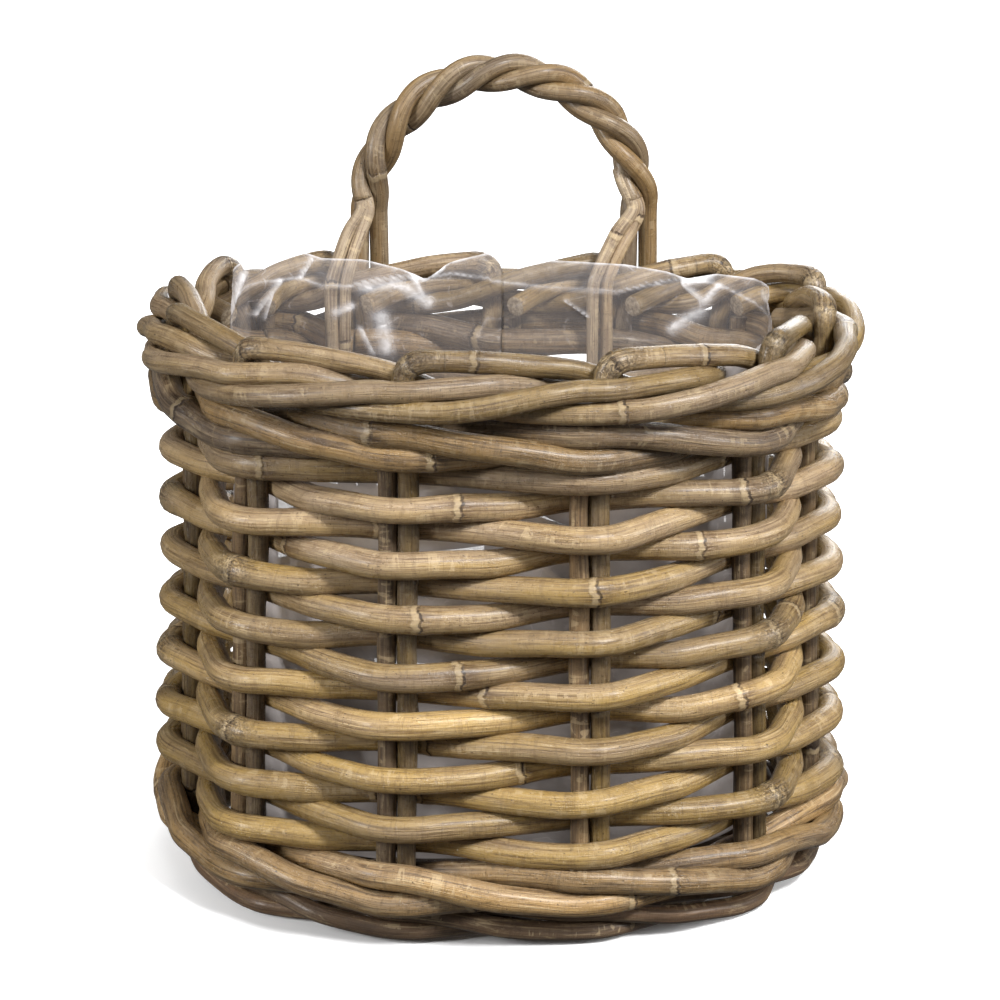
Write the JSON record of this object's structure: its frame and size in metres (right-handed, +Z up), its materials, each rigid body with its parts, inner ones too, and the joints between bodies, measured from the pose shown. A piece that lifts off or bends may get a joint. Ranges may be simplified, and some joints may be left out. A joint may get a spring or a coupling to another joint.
{
  "type": "hanging wall basket",
  "caption": "Half-round wall basket woven from whole rattan canes on paired stakes, with a braided border, a twisted carrying loop and a clear film liner.",
  "frame": {"origin": "middle of the bounding box, at the level the basket stands on", "axes": "+Z up, +Y out of the flat side that hangs against the wall, -Y out of the bowed front, +X to the right seen from the front"},
  "size_m": [0.3078, 0.2092, 0.34],
  "materials": {
    "body_cane": "natural rattan, satin skin",
    "wale_cane": "grey-brown rattan, satin skin",
    "foot_cane": "dark rattan with bark left on",
    "stake_wood": "brown rattan, dull skin",
    "loop_cane": "grey-tan rattan, semi-gloss skin",
    "base_wood": "brown rattan, dull skin",
    "film": "thin clear film, crumpled"
  },
  "bodies": {
    "root": {"foot_wale_01": "foot_cane", "foot_wale_02": "foot_cane", "foot_wale_03": "foot_cane", "base_wale_01": "wale_cane", "base_wale_02": "wale_cane", "base_wale_03": "wale_cane", "top_wale_01": "wale_cane", "top_wale_02": "wale_cane", "top_wale_03": "wale_cane", "body_cane_01": "body_cane", "body_cane_02": "body_cane", "body_cane_03": "body_cane", "body_cane_04": "body_cane", "body_cane_05": "body_cane", "body_cane_06": "body_cane", "body_cane_07": "body_cane", "body_cane_08": "body_cane", "body_cane_09": "body_cane", "body_cane_10": "body_cane", "body_cane_11": "body_cane", "body_cane_12": "body_cane", "main_stake_01": "stake_wood", "main_stake_02": "stake_wood", "main_stake_03": "stake_wood", "main_stake_04": "stake_wood", "main_stake_05": "stake_wood", "main_stake_06": "stake_wood", "main_stake_07": "stake_wood", "main_stake_08": "stake_wood", "main_stake_09": "stake_wood", "main_stake_10": "stake_wood", "main_stake_11": "stake_wood", "main_stake_12": "stake_wood", "main_stake_13": "stake_wood", "bye_stake_01": "stake_wood", "bye_stake_03": "stake_wood", "bye_stake_04": "stake_wood", "bye_stake_05": "stake_wood", "bye_stake_06": "stake_wood", "bye_stake_07": "stake_wood", "bye_stake_08": "stake_wood", "bye_stake_09": "stake_wood", "bye_stake_10": "stake_wood", "bye_stake_11": "stake_wood", "bye_stake_12": "stake_wood", "loop_strand_left": "loop_cane", "loop_strand_right": "loop_cane", "loop_strand_inside": "loop_cane", "base_stick_01": "base_wood", "base_stick_02": "base_wood", "base_stick_03": "base_wood", "base_cane_01": "base_wood", "base_cane_02": "base_wood", "base_cane_03": "base_wood", "film_liner": "film"}
  },
  "joints": []
}
